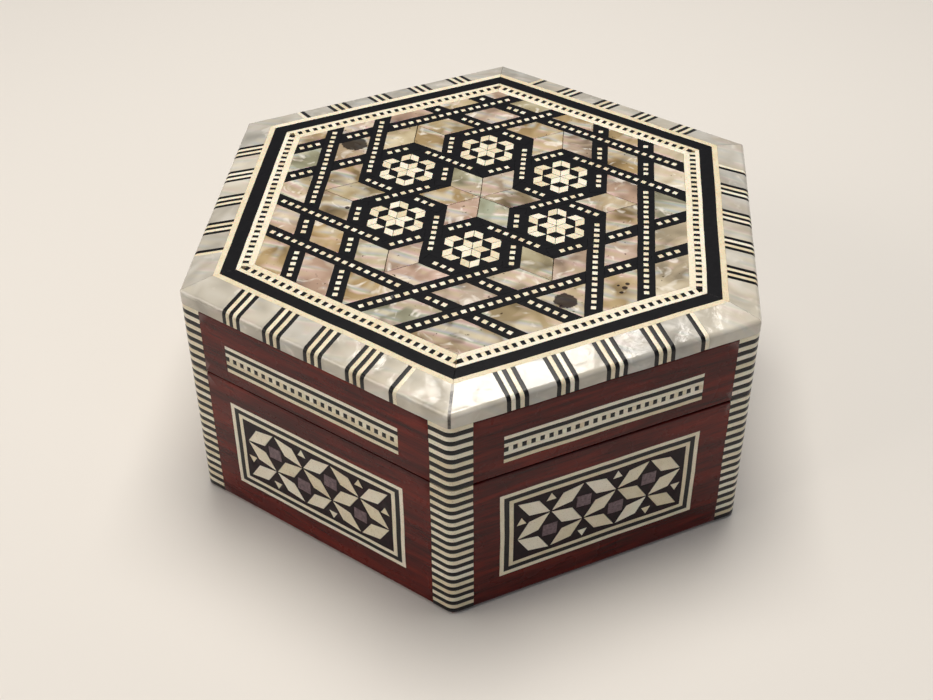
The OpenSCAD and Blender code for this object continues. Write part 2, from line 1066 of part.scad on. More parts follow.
base_felt();
base_board();
body_wall(0);  // body_wall_front
body_wall(1);  // body_wall_front_right
body_wall(2);  // body_wall_back_right
body_wall(3);  // body_wall_back
body_wall(4);  // body_wall_back_left
body_wall(5);  // body_wall_front_left
body_corner_bone();
body_corner_ebony();
panel_bone_lines();
panel_ebony_lines();
panel_ground();
panel_bone_lozenges();
panel_rosewood_bits();
panel_bone_triangles();
body_velvet_floor();
body_velvet_walls();
hinge_lower_leaves();
hinge_lower_screws();
hinge_pins();
lid_wall(0);  // lid_wall_front
lid_wall(1);  // lid_wall_front_right
lid_wall(2);  // lid_wall_back_right
lid_wall(3);  // lid_wall_back
lid_wall(4);  // lid_wall_back_left
lid_wall(5);  // lid_wall_front_left
lid_board();
lid_corner_bone();
lid_corner_ebony();
lid_strip_bone_lines();
lid_strip_ebony_lines();
lid_strip_ebony_squares();
lid_strip_bone_squares();
edging_pearl();
edging_bone_stripes();
edging_ebony_stripes();
top_outer_bone_line();
top_ebony_band();
top_middle_bone_line();
top_ebony_squares();
top_bone_squares();
top_inner_bone_line();
field_dotted_strips();
field_bone_dots();
field_pearl_tiles();
rosette_ground();
rosette_bone_lozenges();
rosette_ebony_lozenges();
lid_velvet_top();
lid_velvet_walls();
hinge_upper_leaves();
hinge_upper_screws();
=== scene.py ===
"""Hexagonal inlaid jewellery box: the looks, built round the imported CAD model. Lengths are in metres."""

import json
import math
import random

import bmesh
import bpy
from mathutils import Matrix, Vector, noise

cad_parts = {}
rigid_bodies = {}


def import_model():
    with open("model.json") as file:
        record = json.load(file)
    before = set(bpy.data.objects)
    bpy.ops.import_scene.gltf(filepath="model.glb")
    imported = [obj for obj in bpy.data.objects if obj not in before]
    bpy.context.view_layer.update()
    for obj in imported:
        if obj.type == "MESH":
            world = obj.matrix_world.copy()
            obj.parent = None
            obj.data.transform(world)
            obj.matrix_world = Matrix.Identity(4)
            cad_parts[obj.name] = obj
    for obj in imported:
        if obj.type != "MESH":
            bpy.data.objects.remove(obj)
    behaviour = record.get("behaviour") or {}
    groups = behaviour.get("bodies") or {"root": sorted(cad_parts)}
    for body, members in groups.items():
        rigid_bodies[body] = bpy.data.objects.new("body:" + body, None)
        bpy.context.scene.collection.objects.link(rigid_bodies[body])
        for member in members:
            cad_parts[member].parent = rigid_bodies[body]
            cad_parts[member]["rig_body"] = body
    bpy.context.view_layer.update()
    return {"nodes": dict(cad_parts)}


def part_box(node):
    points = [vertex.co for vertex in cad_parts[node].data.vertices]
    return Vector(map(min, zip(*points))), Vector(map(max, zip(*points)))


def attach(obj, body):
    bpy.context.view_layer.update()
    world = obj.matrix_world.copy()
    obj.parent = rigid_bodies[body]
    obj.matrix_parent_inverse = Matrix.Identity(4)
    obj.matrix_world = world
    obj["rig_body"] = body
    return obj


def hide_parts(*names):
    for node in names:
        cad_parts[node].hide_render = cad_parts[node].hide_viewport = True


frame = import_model()

MM = 0.001
SIDES = ["front", "front_right", "back_right", "back", "back_left", "front_left"]
scene = bpy.context.scene

# Sizes read from the frame
CASE_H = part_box("edging_pearl")[1].z
CASE_A = -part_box("edging_pearl")[0].y
RIM_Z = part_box("body_wall_front")[1].z
LID_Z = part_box("lid_wall_front")[0].z
WALL_TOP_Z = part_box("lid_wall_front")[1].z
EDGING_IN = -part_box("top_outer_bone_line")[0].y
# How far the lines of the marquetry stray from the drawing
WANDER = 0.2 * MM
# The noise behind the wander starts from the clock unless it is given a seed
noise.seed_set(1)
# How far two heights may differ and still count as one
SAME = 0.01 * MM
# Radius of the walls' outer rims
RIM_R = 0.35 * MM
# Edges longer than these are halved: of the marquetry, the walls and the pads
LAID_EDGE, WALL_EDGE, PAD_EDGE = 3 * MM, 4 * MM, 2.5 * MM
HALVINGS = 4
# Turns from a face to the next, in degrees: within one flat face, over a rim, over a crease
FLAT_ANGLE, RIM_ANGLE, CREASE_ANGLE = 0.5, 35, 28
# Wander of the marquetry's lines: length and share of the slow and of the quick one
SLOW_LENGTH, SLOW_SHARE = 12 * MM, 0.7
QUICK_LENGTH, QUICK_SHARE = 4 * MM, 0.3
# The wander dies out this near a corner of the case and this near a wall's rims
CORNER_FADE, RIM_FADE = 6 * MM, 3 * MM
# How far the pads' edges are rolled down, over what width
PAD_ROLL, PAD_ROLL_W = 0.55 * MM, 3 * MM
# How uneven the pads' faces are, and over what length
PAD_WAVE, PAD_WAVE_LENGTH = 0.06 * MM, 7 * MM
# Width of the horn strip in the front mitre, and its size against the shell edging's end
FILLER_W, FILLER_SWELL = 0.6 * MM, 1.008
FLOOR_HALF = 1.5


# ---- Camera, light and floor ----

def look_from(aim, azimuth, elevation, distance, roll):
    """Matrix of a camera that looks at a point from an azimuth (0 is the front) and an elevation."""
    level = math.cos(elevation)
    back = Vector((math.sin(azimuth) * level, -math.cos(azimuth) * level, math.sin(elevation)))
    turn = back.to_track_quat("Z", "Y").to_matrix().to_4x4()
    return Matrix.Translation(aim + back * distance) @ turn @ Matrix.Rotation(roll, 4, "Z")


def make_camera():
    camera = bpy.data.cameras.new("camera")
    camera.lens = 56
    camera.sensor_width = 36
    camera.clip_start = 0.01
    holder = bpy.data.objects.new("camera", camera)
    scene.collection.objects.link(holder)
    aim = Vector((-9.2, -12.2, 28)) * MM
    azimuth, elevation, roll = math.radians(-24.46), math.radians(38.81), math.radians(-0.39)
    distance = 0.3292
    holder.matrix_world = look_from(aim, azimuth, elevation, distance, roll)
    scene.camera = holder


def make_softbox(name, aim, azimuth, elevation, distance, size, watts, tint):
    """Rectangular lamp turned to a point, its azimuth and elevation in degrees."""
    lamp = bpy.data.lights.new(name, "AREA")
    lamp.shape = "RECTANGLE"
    lamp.size, lamp.size_y = size
    lamp.energy = watts
    lamp.color = linear(tint)[:3]
    holder = bpy.data.objects.new(name, lamp)
    scene.collection.objects.link(holder)
    holder.matrix_world = look_from(aim, math.radians(azimuth), math.radians(elevation), distance, 0)


def linear(hex_colour):
    """Linear RGBA of an sRGB hex colour."""
    channels = [int(hex_colour[i:i + 2], 16) / 255 for i in (1, 3, 5)]
    return [c / 12.92 if c <= 0.04045 else ((c + 0.055) / 1.055) ** 2.4 for c in channels] + [1]


# ---- Materials ----

def new_material(name):
    material = bpy.data.materials.new(name)
    material.use_nodes = True
    material.node_tree.nodes.clear()
    return material


def add(material, kind, inputs=None, stops=None, **settings):
    """Adds one node: its settings, its ramp's stops, then its inputs.

    Each input is a value or a socket to link from."""
    node = material.node_tree.nodes.new(kind)
    for name, value in settings.items():
        setattr(node, name, value)
    if stops:
        ramp = node.color_ramp.elements
        while len(ramp) < len(stops):
            ramp.new(1)
        for element, (place, colour) in zip(ramp, stops):
            element.position = place
            element.color = linear(colour)
    for socket, value in (inputs or {}).items():
        if isinstance(value, bpy.types.NodeSocket):
            material.node_tree.links.new(value, node.inputs[socket])
        else:
            node.inputs[socket].default_value = value
    return node


def mix(material, share, first, second, blend_type="MIX"):
    """Socket with two colours mixed; share is how much of the second is used."""
    # The node's colour sockets go by number: A is 6, B is 7 and the result is output 2
    node = add(material, "ShaderNodeMix", {"Factor": share, 6: first, 7: second}, data_type="RGBA",
               blend_type=blend_type)
    return node.outputs[2]


def finish_material(material, shader):
    add(material, "ShaderNodeOutputMaterial", {"Surface": shader.outputs["BSDF"]})
    return material


def place_in_mm(material):
    """Socket with the place on the object in millimetres."""
    where = add(material, "ShaderNodeTexCoord")
    return add(material, "ShaderNodeVectorMath", {0: where.outputs["Object"], 1: (1000, 1000, 1000)},
               operation="MULTIPLY").outputs[0]


def piece_draw(material):
    """Socket with the random number, from 0 to 1, that each laid piece carries."""
    return add(material, "ShaderNodeAttribute", attribute_name="piece").outputs["Fac"]


def varnished_mahogany():
    # Mahogany, planed, stained and varnished: deep red-brown, with fine dark pores along the
    # grain, slow light and dark bands, and a thin glossy coat
    m = new_material("varnished_mahogany")
    grain = add(m, "ShaderNodeAttribute", attribute_name="grain").outputs["Vector"]
    # Bands run along the board: 25 mm long, 2.5 mm wide
    bands_at = add(m, "ShaderNodeMapping", {"Vector": grain, "Scale": (0.04, 0.4, 0.4)})
    bands = add(m, "ShaderNodeTexNoise", {"Vector": bands_at.outputs[0], "Scale": 1.0, "Detail": 4.0,
                                          "Roughness": 0.55, "Distortion": 0.6})
    # Pores: 6 mm long and 0.25 mm wide
    pores_at = add(m, "ShaderNodeMapping", {"Vector": grain, "Scale": (0.16, 4.0, 4.0)})
    pores = add(m, "ShaderNodeTexNoise", {"Vector": pores_at.outputs[0], "Scale": 1.0, "Detail": 3.0,
                                          "Roughness": 0.7})
    tone = add(m, "ShaderNodeValToRGB", {"Fac": bands.outputs["Fac"]},
               stops=[(0.28, "#360302"), (0.5, "#520a05"), (0.72, "#701808")])
    streak = add(m, "ShaderNodeValToRGB", {"Fac": pores.outputs["Fac"]},
                 stops=[(0.36, "#9a7a72"), (0.5, "#ffffff")])
    wood = mix(m, 0.8, tone.outputs["Color"], streak.outputs["Color"], "MULTIPLY")
    # Handling has left the varnish slightly uneven, in patches some 8 mm across
    smears = add(m, "ShaderNodeTexNoise", {"Vector": place_in_mm(m), "Scale": 0.12, "Detail": 5.0})
    gloss = add(m, "ShaderNodeMapRange", {"Value": smears.outputs["Fac"], "From Min": 0.3,
                                          "From Max": 0.7, "To Min": 0.2, "To Max": 0.36})
    dents = add(m, "ShaderNodeBump", {"Strength": 0.25, "Distance": 0.1 * MM,
                                      "Height": pores.outputs["Fac"]})
    shader = add(m, "ShaderNodeBsdfPrincipled", {
        "Base Color": wood, "Roughness": gloss.outputs[0], "Normal": dents.outputs[0],
        "Coat Weight": 0.2, "Coat Roughness": 0.1, "IOR": 1.45, "Specular IOR Level": 0.15})
    return finish_material(m, shader)


def polished_bone():
    # Camel bone, sawn and polished: warm cream, a little yellower from piece to piece, with
    # short faint pores, and light that goes a little way in
    m = new_material("polished_bone")
    at = place_in_mm(m)
    cloud = add(m, "ShaderNodeTexNoise", {"Vector": at, "Scale": 0.35, "Detail": 3.0})
    # Pores about 0.2 mm across
    pores = add(m, "ShaderNodeTexNoise", {"Vector": at, "Scale": 3.5, "Detail": 2.0, "Roughness": 0.6})
    mixed = add(m, "ShaderNodeMath", {0: cloud.outputs["Fac"], 1: piece_draw(m)}, operation="ADD")
    half = add(m, "ShaderNodeMath", {0: mixed.outputs[0], 1: 0.5}, operation="MULTIPLY")
    tone = add(m, "ShaderNodeValToRGB", {"Fac": half.outputs[0]},
               stops=[(0.2, "#d9caa8"), (0.5, "#e8dec4"), (0.8, "#f1ead8")])
    dirt = add(m, "ShaderNodeValToRGB", {"Fac": pores.outputs["Fac"]},
               stops=[(0.3, "#a88e62"), (0.42, "#ffffff")])
    bone = mix(m, 0.5, tone.outputs["Color"], dirt.outputs["Color"], "MULTIPLY")
    dents = add(m, "ShaderNodeBump", {"Strength": 0.12, "Distance": 0.05 * MM,
                                      "Height": pores.outputs["Fac"]})
    shader = add(m, "ShaderNodeBsdfPrincipled", {
        "Base Color": bone, "Roughness": 0.34, "Normal": dents.outputs[0], "IOR": 1.54,
        "Coat Weight": 0.25, "Coat Roughness": 0.15, "Subsurface Weight": 0.15,
        "Subsurface Scale": 0.0004})
    return finish_material(m, shader)


def polished_ebony():
    # Ebony, scraped and waxed: nearly black with a cold sheen, fine scratches and grey dust in them
    m = new_material("polished_ebony")
    at = place_in_mm(m)
    scratch_at = add(m, "ShaderNodeMapping", {"Vector": at, "Rotation": (0, 0, 0.6),
                                              "Scale": (0.5, 6.0, 2.0)})
    scratches = add(m, "ShaderNodeTexNoise", {"Vector": scratch_at.outputs[0], "Scale": 1.0,
                                              "Detail": 4.0, "Roughness": 0.7})
    tone = add(m, "ShaderNodeValToRGB", {"Fac": scratches.outputs["Fac"]},
               stops=[(0.35, "#040305"), (0.55, "#08070a"), (0.78, "#17151a")])
    gloss = add(m, "ShaderNodeMapRange", {"Value": scratches.outputs["Fac"], "From Min": 0.3,
                                          "From Max": 0.7, "To Min": 0.26, "To Max": 0.42})
    dents = add(m, "ShaderNodeBump", {"Strength": 0.12, "Distance": 0.05 * MM,
                                      "Height": scratches.outputs["Fac"]})
    shader = add(m, "ShaderNodeBsdfPrincipled", {
        "Base Color": tone.outputs["Color"], "Roughness": gloss.outputs[0], "Normal": dents.outputs[0],
        "IOR": 1.45, "Specular IOR Level": 0.35})
    return finish_material(m, shader)


def rosewood():
    # Rosewood or stained bone bits, polished: muted purple-brown, mottled
    m = new_material("polished_rosewood")
    mottle = add(m, "ShaderNodeTexNoise", {"Vector": place_in_mm(m), "Scale": 1.6, "Detail": 4.0})
    tone = add(m, "ShaderNodeValToRGB", {"Fac": mottle.outputs["Fac"]},
               stops=[(0.3, "#43303a"), (0.5, "#5f474f"), (0.72, "#7a6266")])
    shader = add(m, "ShaderNodeBsdfPrincipled", {
        "Base Color": tone.outputs["Color"], "Roughness": 0.38, "IOR": 1.5, "Coat Weight": 0.2,
        "Coat Roughness": 0.2})
    return finish_material(m, shader)


def dark_ground():
    # Black-stained veneer under a reddish varnish, between the bits of the side panels
    m = new_material("stained_ground")
    mottle = add(m, "ShaderNodeTexNoise", {"Vector": place_in_mm(m), "Scale": 0.9, "Detail": 4.0})
    tone = add(m, "ShaderNodeValToRGB", {"Fac": mottle.outputs["Fac"]},
               stops=[(0.3, "#10040a"), (0.55, "#1c0812"), (0.75, "#2c0f1c")])
    shader = add(m, "ShaderNodeBsdfPrincipled", {
        "Base Color": tone.outputs["Color"], "Roughness": 0.35, "IOR": 1.45, "Specular IOR Level": 0.2})
    return finish_material(m, shader)


def mother_of_pearl(name, tints, fold_stops, flashes, speck_level, film, stains=()):
    # Shell sawn into tiles and polished: each tile has its own tint, cut through curved layers that
    # flash white, pink and green where they tilt, with a few brown and black specks. The white
    # flashes are painted highlights in the colour, and the pink and green are partly the shell's own
    # colour and partly painted sheen; flashes sets how much of both is painted. Stains are
    # the places and radii, in millimetres, of black horny blotches; film is the thickness, in
    # nanometres, of the thin layers that colour its shine
    m = new_material(name)
    at = place_in_mm(m)
    draw = piece_draw(m)
    # Every tile is cut from another place of the shell
    shift = add(m, "ShaderNodeVectorMath", {0: (310.0, 170.0, 530.0), 1: draw}, operation="MULTIPLY")
    cut_at = add(m, "ShaderNodeVectorMath", {0: at, 1: shift.outputs[0]}, operation="ADD").outputs[0]
    tint = add(m, "ShaderNodeValToRGB", {"Fac": draw}, stops=tints)
    # Folded growth layers, 3 to 6 mm across
    folds = add(m, "ShaderNodeTexNoise", {"Vector": cut_at, "Scale": 0.12, "Detail": 1.5,
                                          "Distortion": 0.5})
    shade = add(m, "ShaderNodeValToRGB", {"Fac": folds.outputs["Fac"]}, stops=fold_stops)
    body = mix(m, 0.85, tint.outputs["Color"], shade.outputs["Color"], "MULTIPLY")
    # Pink, green and blue lustre in soft bands, mixed in by patches: partly the shell's own colour, partly
    # painted sheen
    layers = add(m, "ShaderNodeTexWave", {"Vector": cut_at, "Scale": 0.05, "Distortion": 4.0,
                                          "Detail": 1.0, "Detail Scale": 0.6},
                 wave_type="BANDS", bands_direction="DIAGONAL")
    lustre = add(m, "ShaderNodeValToRGB", {"Fac": layers.outputs["Fac"]},
                 stops=[(0.0, "#c9b89a"), (0.25, "#dcbcba"), (0.45, "#efe3d6"), (0.6, "#b4c8b4"),
                        (0.8, "#c0c6d2"), (1.0, "#e3dabf")])
    patches = add(m, "ShaderNodeTexNoise", {"Vector": cut_at, "Scale": 0.17, "Detail": 1.0,
                                            "Distortion": 0.8})
    where = add(m, "ShaderNodeMapRange", {"Value": patches.outputs["Fac"], "From Min": 0.42,
                                          "From Max": 0.62, "To Min": 0.0, "To Max": flashes})
    shell = mix(m, where.outputs[0], body, lustre.outputs["Color"])
    # Painted highlights: narrow white flashes put into the colour where a fold would face the light
    glints = add(m, "ShaderNodeTexNoise", {"Vector": cut_at, "Scale": 0.23, "Detail": 2.0,
                                           "Roughness": 0.45, "Distortion": 1.2})
    flash = add(m, "ShaderNodeMapRange", {"Value": glints.outputs["Fac"], "From Min": 0.6,
                                          "From Max": 0.72, "To Min": 0.0, "To Max": flashes})
    bright = mix(m, flash.outputs[0], shell, linear("#fbf6ec"))
    # Worm holes and horny specks, up to 1 mm
    specks = add(m, "ShaderNodeTexNoise", {"Vector": cut_at, "Scale": 0.8, "Detail": 3.0,
                                           "Roughness": 0.6})
    dark = add(m, "ShaderNodeMapRange", {"Value": specks.outputs["Fac"], "From Min": speck_level,
                                         "From Max": speck_level - 0.05, "To Min": 0.0, "To Max": 0.9})
    pearl = mix(m, dark.outputs[0], bright, linear("#3a2f22"))
    # A stain ends where its distance plus the ragged noise times its radius reaches 1.5 radii,
    # which is at the radius itself for an average noise of a half
    ragged = add(m, "ShaderNodeTexNoise", {"Vector": at, "Scale": 0.5, "Detail": 4.0, "Roughness": 0.7})
    for x, y, radius in stains:
        away = add(m, "ShaderNodeVectorMath", {0: at, 1: (x, y, CASE_H / MM)}, operation="DISTANCE")
        edge = add(m, "ShaderNodeMath", {0: ragged.outputs["Fac"], 1: radius, 2: away.outputs["Value"]},
                   operation="MULTIPLY_ADD")
        inside = add(m, "ShaderNodeMapRange", {"Value": edge.outputs[0], "From Min": radius * 1.6,
                                               "From Max": radius * 1.48, "To Min": 0.0, "To Max": 0.92})
        pearl = mix(m, inside.outputs[0], pearl, linear("#15161a"))
    rise = add(m, "ShaderNodeBump", {"Strength": 1.0, "Distance": 0.7 * MM,
                                     "Height": folds.outputs["Fac"]})
    ripple = add(m, "ShaderNodeBump", {"Strength": 0.6, "Distance": 0.2 * MM,
                                       "Height": glints.outputs["Fac"], "Normal": rise.outputs[0]})
    shader = add(m, "ShaderNodeBsdfPrincipled", {
        "Base Color": pearl, "Roughness": 0.2, "Normal": ripple.outputs[0], "IOR": 1.6,
        "Coat Weight": 0.3, "Coat Roughness": 0.05, "Thin Film Thickness": film, "Thin Film IOR": 1.35})
    return finish_material(m, shader)


def grey_horn():
    # Buffalo horn, scraped: smoky grey with long pale streaks
    m = new_material("grey_horn")
    at = add(m, "ShaderNodeMapping", {"Vector": place_in_mm(m), "Scale": (0.6, 0.6, 0.5)})
    streaks = add(m, "ShaderNodeTexNoise", {"Vector": at.outputs[0], "Scale": 1.0, "Detail": 3.0})
    tone = add(m, "ShaderNodeValToRGB", {"Fac": streaks.outputs["Fac"]},
               stops=[(0.35, "#2c2622"), (0.5, "#6b655e"), (0.65, "#a39d92")])
    shader = add(m, "ShaderNodeBsdfPrincipled", {"Base Color": tone.outputs["Color"], "Roughness": 0.3})
    return finish_material(m, shader)


def velvet():
    # Cotton velvet, cut pile about 1 mm long: deep red, pale where the pile turns to the light,
    # with soft crush marks painted in as paler red, a painted sheen
    m = new_material("red_velvet")
    at = place_in_mm(m)
    crush_and_sheen = add(m, "ShaderNodeTexNoise", {"Vector": at, "Scale": 0.09, "Detail": 4.0, "Distortion": 1.2})
    # Tufts 0.4 mm apart, with painted shade darkening the colour between them
    tufts = add(m, "ShaderNodeTexNoise", {"Vector": at, "Scale": 2.5, "Detail": 2.0, "Roughness": 0.8})
    # Painted sheen: the red goes paler where the crush noise is high
    tone = add(m, "ShaderNodeValToRGB", {"Fac": crush_and_sheen.outputs["Fac"]},
               stops=[(0.3, "#5a0714"), (0.55, "#7f0c1e"), (0.75, "#a0182c")])
    # Painted shade: darker between the tufts, where their noise is low
    tuft_shade = add(m, "ShaderNodeValToRGB", {"Fac": tufts.outputs["Fac"]},
                stops=[(0.3, "#6a6a6a"), (0.65, "#ffffff")])
    cloth = mix(m, 0.8, tone.outputs["Color"], tuft_shade.outputs["Color"], "MULTIPLY")
    pile = add(m, "ShaderNodeBump", {"Strength": 0.9, "Distance": 0.3 * MM,
                                     "Height": tufts.outputs["Fac"]})
    shader = add(m, "ShaderNodeBsdfPrincipled", {
        "Base Color": cloth, "Roughness": 0.95, "Normal": pile.outputs[0], "Sheen Weight": 0.7,
        "Sheen Roughness": 0.35, "Sheen Tint": linear("#f0606e"), "Specular IOR Level": 0.1})
    return finish_material(m, shader)


def felt():
    # Pressed wool felt: matt, with matted fibres
    m = new_material("wool_felt")
    fibres = add(m, "ShaderNodeTexNoise", {"Vector": place_in_mm(m), "Scale": 1.8, "Detail": 6.0,
                                           "Roughness": 0.75, "Distortion": 1.5})
    tone = add(m, "ShaderNodeValToRGB", {"Fac": fibres.outputs["Fac"]},
               stops=[(0.3, "#5b2e33"), (0.5, "#7d474a"), (0.7, "#9c6564")])
    nap = add(m, "ShaderNodeBump", {"Strength": 0.6, "Distance": 0.2 * MM,
                                    "Height": fibres.outputs["Fac"]})
    shader = add(m, "ShaderNodeBsdfPrincipled", {
        "Base Color": tone.outputs["Color"], "Roughness": 0.95, "Normal": nap.outputs[0],
        "Sheen Weight": 0.3, "Specular IOR Level": 0.1})
    return finish_material(m, shader)


def aged_brass():
    # Cast and filed brass, gone slightly brown: satin, with fine file marks
    m = new_material("aged_brass")
    at = place_in_mm(m)
    tarnish = add(m, "ShaderNodeTexNoise", {"Vector": at, "Scale": 0.8, "Detail": 5.0})
    file_at = add(m, "ShaderNodeMapping", {"Vector": at, "Scale": (1.0, 9.0, 9.0)})
    marks = add(m, "ShaderNodeTexNoise", {"Vector": file_at.outputs[0], "Scale": 1.0, "Detail": 3.0})
    tone = add(m, "ShaderNodeValToRGB", {"Fac": tarnish.outputs["Fac"]},
               stops=[(0.3, "#6b5023"), (0.55, "#a98441"), (0.75, "#c9a45c")])
    gloss = add(m, "ShaderNodeMapRange", {"Value": tarnish.outputs["Fac"], "From Min": 0.3,
                                          "From Max": 0.7, "To Min": 0.5, "To Max": 0.28})
    cuts = add(m, "ShaderNodeBump", {"Strength": 0.3, "Distance": 0.05 * MM,
                                     "Height": marks.outputs["Fac"]})
    shader = add(m, "ShaderNodeBsdfPrincipled", {
        "Base Color": tone.outputs["Color"], "Metallic": 1.0, "Roughness": gloss.outputs[0],
        "Normal": cuts.outputs[0]})
    return finish_material(m, shader)


def raw_plywood():
    # Thin plywood, unfinished: pale brown with a straight, soft grain
    m = new_material("raw_plywood")
    at = add(m, "ShaderNodeMapping", {"Vector": place_in_mm(m), "Scale": (0.05, 0.8, 0.8)})
    grain = add(m, "ShaderNodeTexNoise", {"Vector": at.outputs[0], "Scale": 1.0, "Detail": 5.0})
    tone = add(m, "ShaderNodeValToRGB", {"Fac": grain.outputs["Fac"]},
               stops=[(0.3, "#8a653c"), (0.5, "#a98356"), (0.7, "#c3a072")])
    shader = add(m, "ShaderNodeBsdfPrincipled", {"Base Color": tone.outputs["Color"], "Roughness": 0.75})
    return finish_material(m, shader)


def matt_paper():
    # Backdrop paper: matt and pale
    m = new_material("backdrop_paper")
    shader = add(m, "ShaderNodeBsdfPrincipled", {"Base Color": linear("#dedad4"), "Roughness": 0.9,
                                                 "Specular IOR Level": 0.2})
    return finish_material(m, shader)


# ---- Hand work on the laid pieces ----

def smooth(t):
    """Eases from 0 to 1 as t does."""
    t = min(max(t, 0), 1)
    return t * t * (3 - 2 * t)


def side_directions(point):
    """Outward direction and the direction along the nearest of the six sides."""
    turn = math.atan2(point.y, point.x)
    turn = round((turn + math.pi / 2) / (math.pi / 3)) * math.pi / 3 - math.pi / 2
    out = Vector((math.cos(turn), math.sin(turn), 0))
    return out, Vector((-out.y, out.x, 0))


def hand_laid(point):
    """Where a point goes when every line wanders a little, as lines laid by hand do."""
    slow = noise.noise_vector(point / SLOW_LENGTH) * SLOW_SHARE
    quick = noise.noise_vector(point / QUICK_LENGTH) * QUICK_SHARE
    away = (slow + quick) * WANDER
    out, along = side_directions(point)
    apothem = point.dot(out)
    inward = smooth((CASE_A - apothem) / (CASE_A - EDGING_IN))
    to_corner = apothem * math.tan(math.pi / 6) - abs(point.dot(along))
    from_corner = smooth(to_corner / CORNER_FADE)
    on_top = smooth((point.z - WALL_TOP_Z) / (CASE_H - WALL_TOP_Z))
    from_ends = smooth(min(abs(point.z - RIM_Z), abs(point.z - LID_Z), point.z) / RIM_FADE)
    inner = inward * on_top
    moved = out * away.dot(out) * inner + along * away.dot(along) * (inner + (1 - inner) * from_corner)
    moved.z = away.z * (1 - on_top) * from_ends
    return point + moved


def shown_outside(face):
    """Whether a face of the laid work is on the case's outside."""
    return face.calc_center_median().dot(face.normal) > CASE_H - 0.6 * MM


def pieces_of(bm):
    """The separate pieces of a mesh, each a list of its vertices."""
    left = set(bm.verts)
    found = []
    for start in bm.verts:
        if start not in left:
            continue
        left.discard(start)
        stack, piece = [start], []
        while stack:
            vert = stack.pop()
            piece.append(vert)
            for edge in vert.link_edges:
                other = edge.other_vert(vert)
                if other in left:
                    left.discard(other)
                    stack.append(other)
        found.append(piece)
    return found


def cut_long_edges(bm, longest):
    """Makes triangles and halves the long edges several times over, so that the shape can bend."""
    bmesh.ops.triangulate(bm, faces=bm.faces)
    for _ in range(HALVINGS):
        edges = [e for e in bm.edges if e.calc_length() > longest]
        bmesh.ops.subdivide_edges(bm, edges=edges, cuts=1)
        bmesh.ops.triangulate(bm, faces=[f for f in bm.faces if len(f.verts) > 3])


def open_cad_mesh(node):
    """The CAD node's mesh with its vertices joined and its flat faces made whole."""
    bm = bmesh.new()
    bm.from_mesh(frame["nodes"][node].data)
    bmesh.ops.remove_doubles(bm, verts=bm.verts, dist=0.002 * MM)
    bmesh.ops.dissolve_limit(bm, angle_limit=math.radians(FLAT_ANGLE), verts=bm.verts, edges=bm.edges)
    return bm


def close_mesh(bm, name, node, material):
    """Turns the worked mesh into a piece that stands for the CAD node."""
    mesh = bpy.data.meshes.new(name)
    bm.to_mesh(mesh)
    bm.free()
    mesh.validate()
    for polygon in mesh.polygons:
        polygon.use_smooth = True
    mesh.set_sharp_from_angle(angle=math.radians(CREASE_ANGLE))
    mesh.materials.append(material)
    piece = bpy.data.objects.new(name, mesh)
    scene.collection.objects.link(piece)
    piece.modifiers.new("flat_faces", "WEIGHTED_NORMAL").keep_sharp = True
    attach(piece, frame["nodes"][node]["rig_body"])
    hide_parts(node)
    return piece


def laid_work(node, material, edge=0.08, shrink=0.0, turn=0.0, tilt=0.0):
    """Lays a CAD node's pieces as a craftsman does: edges eased, sizes and tilts a little uneven.

    edge is in millimetres, shrink is a share of a piece's size, turn and tilt are in degrees."""
    draw = random.Random(node)
    bm = open_cad_mesh(node)
    for piece in pieces_of(bm):
        middle = sum((v.co for v in piece), Vector()) / len(piece)
        out = side_directions(middle)[0]
        lean = Vector((draw.uniform(-1, 1), draw.uniform(-1, 1), 0)) * math.tan(math.radians(tilt))
        less = 1 - draw.uniform(0, shrink)
        facing = Vector((0, 0, 1)) if middle.z > WALL_TOP_Z else out
        twist = Matrix.Rotation(math.radians(draw.uniform(-turn, turn)), 3, facing)
        for vert in piece:
            flat = vert.co - middle
            deep = facing * flat.dot(facing)
            vert.co = middle + deep + twist @ (flat - deep) * less
            if tilt and vert.co.z > middle.z:
                vert.co.z += min((vert.co - middle).dot(lean), 0)
    rims = [e for e in bm.edges if len(e.link_faces) == 2
            and e.calc_face_angle() > math.radians(RIM_ANGLE)
            and any(shown_outside(f) for f in e.link_faces)]
    if edge:
        bmesh.ops.bevel(bm, geom=rims, offset=edge * MM, segments=2, profile=0.5, affect="EDGES",
                        clamp_overlap=True)
    cut_long_edges(bm, LAID_EDGE)
    layer = bm.verts.layers.float.new("piece")
    for piece in pieces_of(bm):
        value = draw.random()
        for vert in piece:
            vert[layer] = value
    for vert in bm.verts:
        vert.co = hand_laid(vert.co)
    return close_mesh(bm, "laid_" + node, node, material)


def wall(node, turns, material):
    """A mitred wall, its outer rims rounded, with the grain running along it."""
    draw = random.Random(node)
    bm = open_cad_mesh(node)
    levels = {round(v.co.z, 6) for v in bm.verts}
    low, high = min(levels), max(levels)
    out = Matrix.Rotation(turns * math.pi / 3, 3, "Z") @ Vector((0, -1, 0))
    rims = [e for e in bm.edges if all(v.co.z < low + SAME for v in e.verts)
            or all(v.co.z > high - SAME for v in e.verts)]
    rims = [e for e in rims if all(v.co.dot(out) > CASE_A - SAME for v in e.verts)]
    bmesh.ops.bevel(bm, geom=rims, offset=RIM_R, segments=3, profile=0.5, affect="EDGES",
                    clamp_overlap=True)
    cut_long_edges(bm, WALL_EDGE)
    layer = bm.verts.layers.float_vector.new("grain")
    back = Matrix.Rotation(-turns * math.pi / 3, 3, "Z")
    shift = Vector((draw.uniform(0, 500), draw.uniform(0, 500), draw.uniform(0, 500)))
    for vert in bm.verts:
        vert[layer] = (back @ vert.co) / MM + shift
        vert.co = hand_laid(vert.co)
    return close_mesh(bm, "worked_" + node, node, material)


